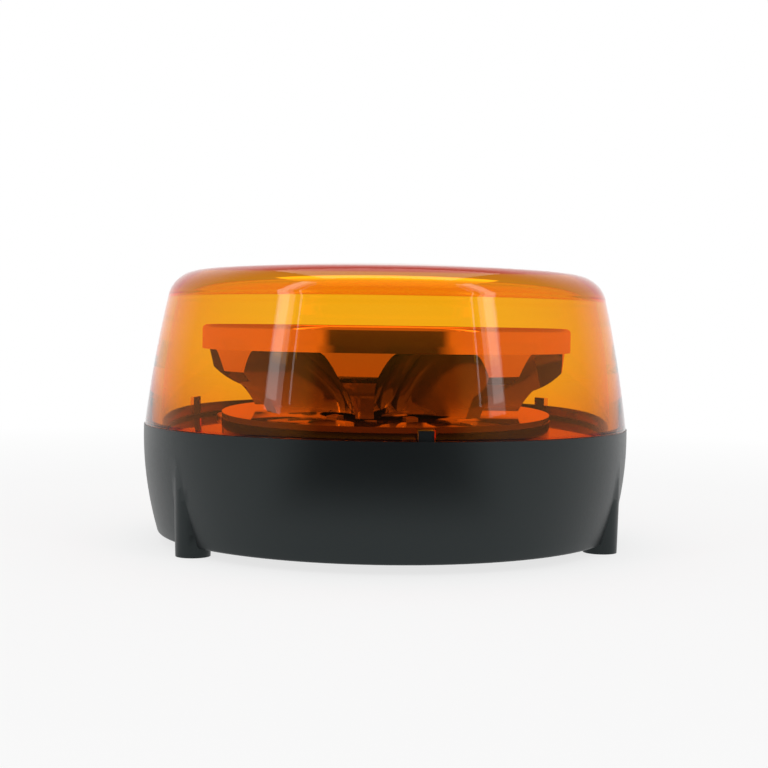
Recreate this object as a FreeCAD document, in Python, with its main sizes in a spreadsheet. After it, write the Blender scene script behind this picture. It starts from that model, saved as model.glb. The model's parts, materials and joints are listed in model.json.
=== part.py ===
import FreeCAD, Part
import math
import os
import re
import Sketcher

# Rotating beacon, three-point mounted.  Millimetres, +Z up, origin on the axis
# at the plane the three feet stand on.  Feet at 90, 210 and 330 degrees.

SIZES = [
    # housing and lens envelope
    ("foot_drop", 2.4, "the feet reach this far below the housing floor"),
    ("seam_height", 33.5, "plane where the lens sits on the housing rim"),
    ("rim_radius", 70.5, "housing outside radius at the seam"),
    ("belly_draw", 0.87, "how far the wall is drawn in half way down"),
    ("skirt_draw", 4.2, "how far the wall is drawn in at the floor"),
    ("skirt_round", 1.0, "round along the bottom edge"),
    ("housing_wall", 2.6, "side wall of the housing"),
    ("wall_bulge", 0.9, "how far the inside wall follows the belly"),
    ("floor_thick", 2.6, "floor of the housing"),
    ("rim_wall", 2.2, "housing wall round the lens spigot"),
    ("ledge_depth", 4.4, "seal ledge below the seam"),
    ("ledge_width", 3.1, "width of the seal ledge"),
    ("ledge_thick", 3.4, "thickness of the seal ledge"),
    ("lens_step", 0.3, "lens set back from the housing at the seam"),
    ("lens_mid_draw", 2.2, "lens drawn in at mid height"),
    ("lens_mid_height", 15.8, "height of that radius above the seam"),
    ("lens_top_draw", 7.9, "lens drawn in at the shoulder corner"),
    ("lens_corner_height", 43.3, "corner height above the seam"),
    ("lens_top_height", 46.7, "top of the lens above the seam"),
    ("lens_round", 9.0, "outside round of the lens shoulder"),
    ("lens_wall_foot", 4.3, "lens wall at the seam"),
    ("lens_wall_top", 2.3, "lens wall at the shoulder"),
    ("lens_ceiling", 3.0, "lens thickness at the top"),
    ("spigot_wall", 2.1, "lens spigot inside the housing rim"),
    ("spigot_depth", 3.2, "how far the spigot enters the housing"),
    ("seal_thick", 1.2, "flat seal under the spigot"),
    ("seal_inset", 0.15, "seal from the inner edge of its ledge"),
    ("spigot_clear", 0.3, "gap between spigot and housing rim"),
    # three mounting feet
    ("foot_circle", 65.0, "radius of the foot circle"),
    ("foot_radius", 4.7, "foot radius where it stands"),
    ("foot_draft", 1.46, "draft of the foot bosses in degrees"),
    ("foot_count", 3, "feet"),
    ("foot_phase", 90.0, "angle of the first foot"),
    ("foot_height", 24.0, "height of the foot bosses"),
    ("insert_radius", 3.1, "threaded insert outside radius"),
    ("insert_bore", 2.1, "threaded insert bore radius"),
    ("insert_length", 10.0, "threaded insert length"),
    ("insert_flange", 3.9, "flange radius of the insert"),
    ("insert_flange_thick", 0.8, "flange thickness of the insert"),
    ("insert_recess", 0.3, "flange lies this far above the foot face"),
    # lens keys
    ("key_width", 4.0, "width of a locking key"),
    ("key_rise", 2.7, "key top above the seam"),
    ("key_depth", 3.3, "radial depth of a key"),
    ("key_inset", 1.0, "key set back from the housing rim"),
    ("key_clear", 0.25, "clearance of the notch round a key"),
    ("key_phase", 30.0, "angle of the first key"),
    # deck chassis
    ("deck_height", 27.0, "underside of the deck"),
    ("deck_thick", 2.5, "deck floor thickness"),
    ("deck_clear", 0.5, "gap between deck edge and housing ledge"),
    ("drum_radius", 48.5, "outside radius of the drum"),
    ("drum_wall", 2.5, "wall of the drum"),
    ("drum_top", 33.2, "top of the drum, seat of the light board"),
    ("hub_radius", 7.5, "outside radius of the bearing hub"),
    ("post_circle", 55.0, "radius of the deck post circle"),
    ("post_radius", 4.0, "deck post radius"),
    ("post_phase", 30.0, "angle of the first deck post"),
    ("pilot_radius", 1.3, "screw core radius in plastic"),
    ("screw_clear", 0.25, "screw clearance in plates"),
    ("screw_length", 8.0, "screw length below its head"),
    ("head_radius", 2.8, "pan head radius"),
    ("head_height", 1.9, "pan head height"),
    # light board
    ("board_radius", 48.4, "light board radius"),
    ("board_thick", 1.6, "light board thickness"),
    ("board_hole", 8.0, "centre hole of the light board"),
    ("spreader_thick", 2.0, "heat spreader thickness"),
    ("spreader_clear", 0.3, "radial gap round the heat spreader"),
    ("led_circle", 27.5, "radius of the ring of lamps"),
    ("led_size", 3.5, "side of one lamp package"),
    ("led_thick", 0.6, "height of one lamp package"),
    ("board_screw_circle", 14.0, "radius of the board screws"),
    # reflector
    ("scoop_count", 8, "reflecting scoops"),
    ("rest_angle", 6.1, "angle of one scoop at rest"),
    ("scoop_focus", 3.15, "focal length of a scoop"),
    ("crown_gap", 1.2, "running gap above the light board"),
    ("crown_foot_radius", 39.4, "reflector radius at the bottom"),
    ("crown_neck_radius", 43.6, "reflector radius at the neck"),
    ("crown_neck_height", 6.5, "neck above the reflector bottom"),
    ("crown_skirt_radius", 51.7, "radius below the rim step"),
    ("crown_skirt_height", 12.3, "that radius above the reflector bottom"),
    ("crown_rim_under", 52.4, "radius right under the rim"),
    ("crown_rim_radius", 54.0, "rim radius"),
    ("crown_rim_height", 18.5, "rim underside above the reflector bottom"),
    ("crown_height", 25.8, "whole height of the reflector"),
    ("crown_edge_round", 1.4, "round on the rim"),
    ("crown_recess", 1.2, "depth of the dish in the top"),
    ("crown_recess_radius", 47.0, "radius of the dish in the top"),
    ("crown_boss_radius", 9.0, "boss in the middle of the dish"),
    ("crown_hub_radius", 6.5, "hub inside the reflector"),
    ("crown_core_radius", 19.5, "hollow inside the reflector"),
    ("crown_core_roof", 5.0, "material above the hollow"),
    # drive
    ("shaft_radius", 2.5, "rotor shaft radius"),
    ("shaft_clear", 0.04, "running clearance of the shaft in its bushes"),
    ("shaft_foot", 14.6, "lower end of the rotor shaft"),
    ("shaft_screw_depth", 10.0, "depth of the thread in the shaft top"),
    ("cap_screw_radius", 1.5, "thread radius of the cap screw"),
    ("cap_head_radius", 4.6, "head radius of the cap screw"),
    ("cap_head_height", 2.2, "head height of the cap screw"),
    ("bush_wall", 1.9, "wall of the bearing bushes"),
    ("bush_flange", 1.2, "flange thickness of the bushes"),
    ("bush_flange_width", 1.4, "flange width of the bushes"),
    ("bracket_height", 18.4, "underside of the motor bracket"),
    ("bracket_thick", 1.6, "motor bracket thickness"),
    ("bracket_width", 24.0, "motor bracket width"),
    ("bracket_arm", 14.0, "width of the bracket's cross arm"),
    ("spacer_radius", 2.6, "bracket spacer radius"),
    ("bracket_bite", 3.0, "bracket screws in the deck pads"),
    ("spacer_clear", 1.6, "gap between the rotor gear and the spacers"),
    ("gear_module", 0.8, "gear module"),
    ("gear_teeth", 60, "teeth on the rotor gear"),
    ("pinion_teeth", 12, "teeth on the motor pinion"),
    ("gear_backlash", 0.16, "play between the teeth"),
    ("gear_rim", 3.4, "pitch circle to the inside of the toothed rim"),
    ("gear_spoke", 1.6, "rim and hub left beside the windows"),
    ("gear_face", 2.6, "rotor gear face width"),
    ("gear_height", 22.9, "underside of the rotor gear"),
    ("gear_hub_radius", 6.0, "rotor gear hub radius"),
    ("pinion_face", 3.6, "pinion face width"),
    ("motor_angle", 210.0, "direction of the motor from the axis"),
    ("motor_radius", 11.0, "motor can radius"),
    ("motor_length", 12.6, "motor can length"),
    ("motor_bearing", 4.0, "depth of the motor shaft in the can"),
    ("motor_thread", 3.0, "motor screw thread below the bracket"),
    ("pinion_height", 22.4, "underside of the pinion"),
    ("gear_addendum", 0.74, "addendum of the rotor gear in modules"),
    ("bush_rise", 1.2, "lower bush above the bracket"),
    ("hub_gap", 0.1, "running gap under the gear hub"),
    ("motor_shaft_radius", 1.5, "motor shaft radius"),
    ("motor_boss_radius", 3.5, "locating boss of the motor"),
    ("motor_screw_circle", 7.5, "radius of the motor screws"),
    ("clip_groove", 0.5, "depth of the clip groove"),
    ("clip_thick", 0.7, "thickness of the shaft clip"),
    ("washer_thick", 0.6, "thrust washer thickness"),
    # driver electronics and inlet
    ("pcb_length", 46.0, "driver board length"),
    ("pcb_width", 26.0, "driver board width"),
    ("pcb_thick", 1.6, "driver board thickness"),
    ("pcb_angle", 30.0, "direction of the driver board from the axis"),
    ("pcb_distance", 36.0, "distance of the driver board from the axis"),
    ("standoff_height", 3.6, "standoffs above the floor"),
    ("standoff_radius", 2.6, "standoff radius"),
    ("standoff_inset", 4.0, "standoff from the board edges"),
    ("capacitor_radius", 4.0, "capacitor radius"),
    ("capacitor_length", 9.0, "capacitor height"),
    ("regulator_height", 9.0, "regulator case height"),
    ("terminal_length", 16.0, "terminal block length"),
    ("inlet_radius", 5.0, "hole for the cable grommet"),
    ("inlet_bore", 3.0, "bore of the cable grommet"),
    ("inlet_lip", 2.0, "lip of the cable grommet"),
    ("vent_circle", 44.0, "distance of the breather from the axis"),
    ("vent_radius", 3.0, "breather plug radius"),
]

doc = FreeCAD.newDocument("rotating_beacon")
sheet = doc.addObject("Spreadsheet::Sheet", "Sizes")
for row, (alias, value, note) in enumerate(SIZES, start=1):
    sheet.set("A%d" % row, alias)
    sheet.set("B%d" % row, str(value))
    sheet.set("C%d" % row, note)
    sheet.setAlias("B%d" % row, alias)
doc.recompute()

NAMES = {alias for alias, value, note in SIZES}
V = FreeCAD.Vector
ON_AXIS = "centre on the axis"
nodes = []

# Derived values, written once and used by every piece that meets there.
FLOOR = "(foot_drop + floor_thick)"
LEDGE = "(seam_height - ledge_depth)"
BELLY = "(rim_radius - belly_draw)"
SKIRT = "(rim_radius - skirt_draw)"
LENS_FOOT = "(rim_radius - lens_step)"
LENS_MID = "(rim_radius - lens_step - lens_mid_draw)"
LENS_CORNER = "(rim_radius - lens_step - lens_top_draw)"
KEY_OUT = "(rim_radius - key_inset)"
KEY_IN = "(rim_radius - key_inset - key_depth)"
RIM_BORE = "(rim_radius - rim_wall)"
LEDGE_BORE = "(rim_radius - rim_wall - ledge_width)"
SPIGOT_OUT = "(rim_radius - rim_wall - spigot_clear)"
SPIGOT_IN = "(rim_radius - rim_wall - spigot_clear - spigot_wall)"
SEAL_TOP = "(seam_height - ledge_depth + seal_thick)"
DECK_TOP = "(deck_height + deck_thick)"
DECK_EDGE = "(rim_radius - rim_wall - ledge_width - deck_clear)"
BOARD_TOP = "(drum_top + board_thick)"
CROWN_FOOT = "(drum_top + board_thick + crown_gap)"
CROWN_TOP = "(drum_top + board_thick + crown_gap + crown_height)"
BUSH_OUT = "(shaft_radius + shaft_clear + bush_wall)"
BUSH_BORE = "(shaft_radius + shaft_clear)"
BRACKET_TOP = "(bracket_height + bracket_thick)"
CENTRES = "(gear_module * (gear_teeth + pinion_teeth) / 2)"
SCREW_HOLE = "(pilot_radius + screw_clear)"
PCB_BASE = "(foot_drop + floor_thick + standoff_height)"
DISH = "(drum_top + board_thick + crown_gap + crown_height - crown_recess)"


def bind(text):
    """An expression for a property: sheet words get the sheet's name."""
    return re.sub(r"[a-z][a-z_]*", lambda m: "Sizes." + m[0] if m[0] in NAMES else m[0], str(text))


def val(text):
    """The value of an expression of sheet words."""
    return float(sheet.evalExpression(str(text)))


def make_body(label):
    body = doc.addObject("PartDesign::Body", label)
    body.Label = label
    return body


def origin(body, role):
    return [f for f in body.Origin.OriginFeatures if f.Role == role][0]


def crown_point(a, b):
    """A point between a and b on the circle through both that is centred on x = 0."""
    centre = V(0, (a.y * a.y + a.x * a.x - b.y * b.y - b.x * b.x) / (2 * (a.y - b.y)), 0)
    half_way = (a + b) * 0.5 - centre
    return centre + half_way * ((a - centre).Length / half_way.Length)


def outline(body, name, path, plane="XZ_Plane", height=None, shift=None):
    """Closed sketch.  path holds (x, y), or (x, y, (mx, my)) when the edge to the
    next corner is an arc through (mx, my), or (x, y, ON_AXIS) when it is an arc
    centred on the turning axis."""
    sk = body.newObject("Sketcher::SketchObject", name)
    sk.AttachmentSupport = (origin(body, plane), "")
    sk.MapMode = "FlatFace"
    if height is not None:
        sk.setExpression("AttachmentOffset.Base.z", bind(height))
    if shift is not None:
        sk.setExpression("AttachmentOffset.Base.x", bind(shift))
    corners = [V(val(p[0]), val(p[1]), 0) for p in path]
    count = len(path)
    for i, p in enumerate(path):
        a, b = corners[i], corners[(i + 1) % count]
        if len(p) == 3:
            middle = crown_point(a, b) if p[2] == ON_AXIS else V(val(p[2][0]), val(p[2][1]), 0)
            left_turn = (middle - a).cross(b - middle).z > 0
            sk.addGeometry(Part.Arc(a, middle, b) if left_turn else Part.Arc(b, middle, a))
        else:
            sk.addGeometry(Part.LineSegment(a, b))

    first = [1 if (sk.Geometry[i].StartPoint - corners[i]).Length < 1e-5 else 2 for i in range(count)]
    for i in range(count):
        j = (i + 1) % count
        sk.addConstraint(Sketcher.Constraint("Coincident", i, 3 - first[i], j, first[j]))
    for i, p in enumerate(path):
        for axis, text, value in (("X", p[0], corners[i].x), ("Y", p[1], corners[i].y)):
            k = sk.addConstraint(Sketcher.Constraint("Distance" + axis, i, first[i], value))
            pin(sk, k, "p%s%d" % (axis.lower(), i), text)
        if len(p) == 3 and p[2] == ON_AXIS:
            sk.addConstraint(Sketcher.Constraint("PointOnObject", i, 3, -2))
        elif len(p) == 3:
            m = sk.addGeometry(Part.Point(V(val(p[2][0]), val(p[2][1]), 0)), True)
            for axis, text in (("X", p[2][0]), ("Y", p[2][1])):
                k = sk.addConstraint(Sketcher.Constraint("Distance" + axis, m, 1, val(text)))
                pin(sk, k, "m%s%d" % (axis.lower(), i), text)
            sk.addConstraint(Sketcher.Constraint("PointOnObject", m, 1, i))
    return sk


def discs(body, name, circles, height="0", plane="XY_Plane"):
    """Sketch of circles (x, y, radius)."""
    sk = body.newObject("Sketcher::SketchObject", name)
    sk.AttachmentSupport = (origin(body, plane), "")
    sk.MapMode = "FlatFace"
    sk.setExpression("AttachmentOffset.Base.z", bind(height))
    for x, y, radius in circles:
        g = sk.addGeometry(Part.Circle(V(val(x), val(y), 0), V(0, 0, 1), val(radius)))
        pin(sk, sk.addConstraint(Sketcher.Constraint("DistanceX", g, 3, val(x))), "cx%d" % g, x)
        pin(sk, sk.addConstraint(Sketcher.Constraint("DistanceY", g, 3, val(y))), "cy%d" % g, y)
        pin(sk, sk.addConstraint(Sketcher.Constraint("Radius", g, val(radius))), "cr%d" % g, radius)
    return sk


def pin(sk, k, name, text):
    """Tie a constraint to its sheet expression; plain numbers stay as they are."""
    sk.renameConstraint(k, name)
    if any(word in NAMES for word in re.findall(r"[a-z][a-z_]*", str(text))):
        sk.setExpression("Constraints." + name, bind(text))


def revolve(body, name, path, cut=False, shift=None):
    sk = outline(body, name + "_section", path, shift=shift)
    kind = "PartDesign::Groove" if cut else "PartDesign::Revolution"
    f = body.newObject(kind, name)
    f.Profile = sk
    f.ReferenceAxis = (sk, ["V_Axis"])
    f.Angle = 360
    return f


def extrude(body, name, sketch, length, cut=False, taper=None, down=False):
    f = body.newObject("PartDesign::Pocket" if cut else "PartDesign::Pad", name)
    f.Profile = sketch
    f.setExpression("Length", bind(length))
    f.Reversed = down
    if taper is not None:
        f.setExpression("TaperAngle", bind(taper))
    return f


def around(body, name, features, count, angle=360):
    """Polar pattern about the body's Z axis."""
    f = body.newObject("PartDesign::PolarPattern", name)
    f.Originals = features
    f.Axis = (origin(body, "Z_Axis"), [""])
    f.Angle = angle
    f.setExpression("Occurrences", bind(count))
    body.Tip = f
    return f


def soften(body, name, base, rings, radius):
    """Fillet of the circular edges at the given (radius, height) pairs."""
    doc.recompute()
    picked = []
    for i, edge in enumerate(base.Shape.Edges, start=1):
        if edge.Degenerated or not edge.Closed or not isinstance(edge.Curve, Part.Circle):
            continue
        for r, z in rings:
            if abs(edge.Curve.Radius - val(r)) < 1e-3 and abs(edge.Curve.Center.z - val(z)) < 1e-3:
                picked.append("Edge%d" % i)
    f = body.newObject("PartDesign::Fillet", name)
    f.Base = (base, picked)
    f.setExpression("Radius", bind(radius))
    return f


def place(body, x="0", y="0", z="0", angle="0"):
    """Placement of a body, all bound."""
    body.Placement = FreeCAD.Placement(V(0, 0, 0), FreeCAD.Rotation(V(0, 0, 1), 1))
    body.setExpression(".Placement.Base.x", bind(x))
    body.setExpression(".Placement.Base.y", bind(y))
    body.setExpression(".Placement.Base.z", bind(z))
    body.setExpression(".Placement.Rotation.Angle", bind(angle))


def node(obj):
    nodes.append(obj)
    return obj


def ring(label, inner, outer, low, high):
    """Plain turned ring."""
    body = make_body(label)
    revolve(body, label + "_turned", [(inner, low), (outer, low), (outer, high), (inner, high)])
    return body


def screws(label, circle, count, phase, seat, length, radius="pilot_radius", head="head_radius",
           head_height="head_height", flat=False):
    """Ring of identical screws.  seat is the height of the face under the heads."""
    body = make_body(label)
    if flat:
        path = [("0", "-(%s)" % length), (radius, "-(%s)" % length), (radius, "-(%s)" % head_height),
                (head, "0"), ("0", "0")]
    else:
        path = [("0", "-(%s)" % length), (radius, "-(%s)" % length), (radius, "0"), (head, "0"),
                (head, "%s * 0.4" % head_height, ("%s * 0.92" % head, "%s * 0.8" % head_height)),
                ("%s * 0.7" % head, head_height), ("0", head_height)]
    f = revolve(body, label + "_turned", path, shift=circle)
    around(body, label + "_ring", [f], count)
    place(body, z=seat, angle=phase)
    return body


# ------------------------------------------------------------------ housing
# A moulded tub: bellied side wall, seal ledge inside the rim, three drafted
# foot bosses, three keys that lock the lens, deck posts and board standoffs.
housing = node(make_body("base_housing"))
tub = revolve(housing, "tub", [
    ("0", "foot_drop"),
    (SKIRT, "foot_drop", (BELLY, "(foot_drop + seam_height) / 2")),
    ("rim_radius", "seam_height"),
    (RIM_BORE, "seam_height"),
    (RIM_BORE, LEDGE),
    (LEDGE_BORE, LEDGE),
    (LEDGE_BORE, LEDGE + " - ledge_thick"),
    (BELLY + " - housing_wall", LEDGE + " - ledge_thick - 2.2",
     ("(" + BELLY + " + " + SKIRT + ") / 2 - housing_wall + wall_bulge",
      "(%s + %s - ledge_thick) / 2" % (FLOOR, LEDGE))),
    (SKIRT + " - housing_wall", FLOOR),
    ("0", FLOOR),
])
skirt = soften(housing, "skirt_edge", tub, [(SKIRT, "foot_drop")], "skirt_round")
boss_sketch = discs(housing, "foot_boss_sketch", [("foot_circle", "0", "foot_radius")], "0")
boss = extrude(housing, "foot_boss", boss_sketch, "foot_height", taper="foot_draft")
bosses = around(housing, "foot_bosses", [boss], "foot_count")
well_sketch = discs(housing, "insert_well_sketch", [("foot_circle", "0", "insert_radius")], "0")
well = extrude(housing, "insert_well", well_sketch, "insert_length + insert_recess + 1", cut=True, down=True)
seat_sketch = discs(housing, "insert_seat_sketch", [("foot_circle", "0", "insert_flange")], "0")
seat = extrude(housing, "insert_seat", seat_sketch, "insert_recess + insert_flange_thick", cut=True, down=True)
around(housing, "insert_wells", [well, seat], "foot_count")
place(housing, angle="foot_phase")
# keys stand half way between the feet, seen from the feet's own frame
KEY_TURN = "(key_phase - foot_phase)"


def turned(x, y, turn):
    """Coordinates turned about the axis by an angle in degrees."""
    c, s = "cos(%s * 1 deg)" % turn, "sin(%s * 1 deg)" % turn
    return "(%s) * %s - (%s) * %s" % (x, c, y, s), "(%s) * %s + (%s) * %s" % (x, s, y, c)


key_path = [turned(x, y, KEY_TURN) for x, y in (
    (KEY_IN, "-key_width / 2"), (KEY_OUT, "-key_width / 2"),
    (KEY_OUT, "key_width / 2"), (KEY_IN, "key_width / 2"))]
key_sketch = outline(housing, "key_sketch", key_path, plane="XY_Plane", height=LEDGE + " - 0.5")
key = extrude(housing, "key", key_sketch, "ledge_depth + key_rise + 0.5")
around(housing, "keys", [key], "foot_count")
POST_TURN = "(post_phase - foot_phase)"
px, py = turned("post_circle", "0", POST_TURN)
post_sketch = discs(housing, "post_sketch", [(px, py, "post_radius")], FLOOR)
post = extrude(housing, "post", post_sketch, "deck_height - foot_drop - floor_thick")
around(housing, "posts", [post], "foot_count")
hole_sketch = discs(housing, "post_hole_sketch", [(px, py, "pilot_radius")], "deck_height")
post_hole = extrude(housing, "post_hole", hole_sketch, "screw_length - deck_thick + 1.5", cut=True)
around(housing, "post_holes", [post_hole], "foot_count")
corner_list = []
for sx in (-1, 1):
    for sy in (-1, 1):
        corner_list.append(turned("pcb_distance + %d * (pcb_width / 2 - standoff_inset)" % sx,
                                  "%d * (pcb_length / 2 - standoff_inset)" % sy,
                                  "(pcb_angle - foot_phase)"))
stand_sketch = discs(housing, "standoff_sketch", [(x, y, "standoff_radius") for x, y in corner_list], FLOOR)
extrude(housing, "standoffs", stand_sketch, "standoff_height")
stand_hole = discs(housing, "standoff_hole_sketch", [(x, y, "pilot_radius") for x, y in corner_list], PCB_BASE)
extrude(housing, "standoff_holes", stand_hole, "standoff_height", cut=True)
inlet_sketch = discs(housing, "inlet_sketch", [("0", "0", "inlet_radius")] +
                     [turned("vent_circle", "0", "90") + ("vent_radius",)], FLOOR)
extrude(housing, "inlet", inlet_sketch, "floor_thick + 1", cut=True)

# --------------------------------------------------------------------- lens
# One clear moulding, wall thicker at the foot than at the shoulder, with a
# spigot inside the housing rim and a notch for each key.
lens = node(make_body("lens"))
dome = revolve(lens, "dome", [
    (SPIGOT_IN, "seam_height - spigot_depth"),
    (SPIGOT_OUT, "seam_height - spigot_depth"),
    (SPIGOT_OUT, "seam_height"),
    (LENS_FOOT, "seam_height", (LENS_MID, "seam_height + lens_mid_height")),
    (LENS_CORNER, "seam_height + lens_corner_height", ON_AXIS),
    ("0", "seam_height + lens_top_height"),
    ("0", "seam_height + lens_top_height - lens_ceiling", ON_AXIS),
    (LENS_CORNER + " - lens_wall_top", "seam_height + lens_corner_height - lens_ceiling",
     (LENS_MID + " - (lens_wall_foot + lens_wall_top) / 2", "seam_height + lens_mid_height")),
    (LENS_FOOT + " - lens_wall_foot", "seam_height"),
])
shoulder = soften(lens, "shoulder", dome, [(LENS_CORNER, "seam_height + lens_corner_height")], "lens_round")
inside = soften(lens, "shoulder_inside", shoulder,
                [(LENS_CORNER + " - lens_wall_top", "seam_height + lens_corner_height - lens_ceiling")],
                "lens_round - lens_wall_top")
NOTCH = [(KEY_IN + " - 3", "-key_width / 2 - key_clear"), (LENS_FOOT + " + 2", "-key_width / 2 - key_clear"),
         (LENS_FOOT + " + 2", "key_width / 2 + key_clear"), (KEY_IN + " - 3", "key_width / 2 + key_clear")]
notch_sketch = outline(lens, "notch_sketch", NOTCH, plane="XY_Plane", height="seam_height + key_rise + key_clear")
notch = extrude(lens, "notch", notch_sketch, "key_rise + key_clear + spigot_depth + 1", cut=True)
around(lens, "notches", [notch], "foot_count")
place(lens, angle="key_phase")

seal = node(make_body("lens_seal"))
SEAL_IN = LEDGE_BORE + " + seal_inset"
revolve(seal, "seal_ring", [(SEAL_IN, LEDGE), (SPIGOT_OUT, LEDGE), (SPIGOT_OUT, SEAL_TOP), (SEAL_IN, SEAL_TOP)])
SEAL_NOTCH = [(KEY_IN + " - key_clear",) + NOTCH[0][1:], NOTCH[1], NOTCH[2], (KEY_IN + " - key_clear",) + NOTCH[3][1:]]
seal_notch_sketch = outline(seal, "seal_notch_sketch", SEAL_NOTCH, plane="XY_Plane", height=SEAL_TOP + " + 0.5")
seal_notch = extrude(seal, "seal_notch", seal_notch_sketch, "seal_thick + 1", cut=True)
around(seal, "seal_notches", [seal_notch], "foot_count")
place(seal, angle="key_phase")

# Places of the bracket spacers and motor screws, seen along the motor direction.
ARM = "(gear_module * gear_teeth / 2 + gear_module + spacer_radius + spacer_clear)"
SPACERS = [("0", "0 - " + ARM), ("0", ARM), (CENTRES + " + bracket_width / 2 + 3", "0")]
MOTOR_SCREWS = [(CENTRES, "motor_screw_circle"), (CENTRES, "0 - motor_screw_circle")]

# -------------------------------------------------------------------- deck
# Moulded chassis: floor, drum that carries the light board, bearing hub.
deck = node(make_body("deck_plate"))
STEP_TOP = "(drum_top - spreader_thick)"
revolve(deck, "deck_turned", [
    (BUSH_OUT, "deck_height"),
    (DECK_EDGE, "deck_height"),
    (DECK_EDGE, DECK_TOP),
    ("drum_radius", DECK_TOP),
    ("drum_radius", "drum_top"),
    ("drum_radius - drum_wall", "drum_top"),
    ("drum_radius - drum_wall", STEP_TOP),
    ("drum_radius - drum_wall - 2", STEP_TOP),
    ("drum_radius - drum_wall - 2", DECK_TOP),
    ("hub_radius", DECK_TOP),
    ("hub_radius", "drum_top"),
    (BUSH_OUT, "drum_top"),
])
deck_hole_sketch = discs(deck, "deck_hole_sketch", [("post_circle", "0", SCREW_HOLE)], DECK_TOP)
deck_hole = extrude(deck, "deck_hole", deck_hole_sketch, "deck_thick + 1", cut=True)
around(deck, "deck_holes", [deck_hole], "foot_count")
# blind pillars for the board screws
PILLAR_TURN = "(0 - post_phase)"
bx, by = turned("board_screw_circle", "0", PILLAR_TURN)
pillar_sketch = discs(deck, "pillar_sketch", [(bx, by, "pilot_radius + 1.4")], DECK_TOP)
pillar = extrude(deck, "pillar", pillar_sketch, STEP_TOP + " - deck_height - deck_thick")
around(deck, "pillars", [pillar], "foot_count")
pillar_hole_sketch = discs(deck, "pillar_hole_sketch", [(bx, by, "pilot_radius")], STEP_TOP)
pillar_hole = extrude(deck, "pillar_hole", pillar_hole_sketch, "3", cut=True)
around(deck, "pillar_holes", [pillar_hole], "foot_count")
# thick pads over the bracket spacers, drilled from below
pad_list = [turned(x, y, "(motor_angle - post_phase)") for x, y in SPACERS]
pads = discs(deck, "pad_sketch", [(x, y, "spacer_radius + 0.6") for x, y in pad_list], "deck_height")
extrude(deck, "pads", pads, STEP_TOP + " - deck_height")
pad_holes = discs(deck, "pad_hole_sketch", [(x, y, "pilot_radius") for x, y in pad_list], "deck_height")
extrude(deck, "pad_holes", pad_holes, "bracket_bite", cut=True, down=True)
place(deck, angle="post_phase")

node(screws("deck_screws", "post_circle", "foot_count", "post_phase", DECK_TOP, "screw_length"))

# ------------------------------------------------- light board and spreader
spreader = node(make_body("heat_spreader"))
revolve(spreader, "spreader_turned", [
    ("hub_radius + spreader_clear", STEP_TOP), ("drum_radius - drum_wall - spreader_clear", STEP_TOP),
    ("drum_radius - drum_wall - spreader_clear", "drum_top"), ("hub_radius + spreader_clear", "drum_top")])
sp_sketch = discs(spreader, "spreader_hole_sketch", [("board_screw_circle", "0", SCREW_HOLE)], "drum_top")
sp_hole = extrude(spreader, "spreader_hole", sp_sketch, "spreader_thick + 1", cut=True)
around(spreader, "spreader_holes", [sp_hole], "foot_count")

board = node(make_body("led_board"))
revolve(board, "board_turned", [
    ("board_hole", "drum_top"), ("board_radius", "drum_top"), ("board_radius", BOARD_TOP),
    ("board_hole", BOARD_TOP)])
bd = revolve(board, "countersink", [
    ("0", "drum_top - 0.5"), (SCREW_HOLE, "drum_top - 0.5"), (SCREW_HOLE, "drum_top + 0.2"),
    ("head_radius + screw_clear", BOARD_TOP + " + 0.1"), ("0", BOARD_TOP + " + 0.1")],
    cut=True, shift="board_screw_circle")
around(board, "countersinks", [bd], "foot_count")

node(screws("board_screws", "board_screw_circle", "foot_count", "0", BOARD_TOP,
            "board_thick + spreader_thick + 2.4", head_height="board_thick - 0.3", flat=True))

lamps = node(make_body("led_packages"))
half = "led_size / 2"
lamp_sketch = outline(lamps, "lamp_sketch", [
    ("led_circle - " + half, "0 - " + half), ("led_circle + " + half, "0 - " + half),
    ("led_circle + " + half, half), ("led_circle - " + half, half)], plane="XY_Plane", height=BOARD_TOP)
lamp = extrude(lamps, "lamp", lamp_sketch, "led_thick")
around(lamps, "lamp_ring", [lamp], "scoop_count")
place(lamps, angle="rest_angle")

# ---------------------------------------------------------------- reflector
# Metallised crown.  Each scoop is a paraboloid with its focus on the lamp ring
# and its axis pointing straight out; what is left between two scoops is a
# pillar that widens upwards into a spandrel under the rim.
blank = make_body("crown_blank")
crown_turned = revolve(blank, "crown_turned", [
    ("shaft_radius", CROWN_FOOT),
    ("crown_hub_radius", CROWN_FOOT),
    ("crown_hub_radius", "%s - crown_core_roof" % CROWN_TOP),
    ("crown_core_radius - 1", "%s - crown_core_roof" % CROWN_TOP),
    ("crown_core_radius", CROWN_FOOT),
    ("crown_foot_radius", CROWN_FOOT,
     ("(crown_foot_radius + crown_neck_radius) / 2 - 0.4", CROWN_FOOT + " + crown_neck_height / 2")),
    ("crown_neck_radius", CROWN_FOOT + " + crown_neck_height",
     ("(crown_neck_radius + crown_skirt_radius) / 2 + 0.4",
      CROWN_FOOT + " + (crown_neck_height + crown_skirt_height) / 2 - 0.5")),
    ("crown_skirt_radius", CROWN_FOOT + " + crown_skirt_height"),
    ("crown_rim_under", CROWN_FOOT + " + crown_rim_height"),
    ("crown_rim_radius", CROWN_FOOT + " + crown_rim_height"),
    ("crown_rim_radius", CROWN_TOP),
    ("crown_recess_radius", CROWN_TOP),
    ("crown_recess_radius - crown_recess", DISH),
    ("crown_boss_radius + crown_recess", DISH),
    ("crown_boss_radius", CROWN_TOP),
    ("shaft_radius", CROWN_TOP),
])
soften(blank, "rim_rounds", crown_turned, [("crown_rim_radius", CROWN_TOP)], "crown_edge_round")

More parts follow.
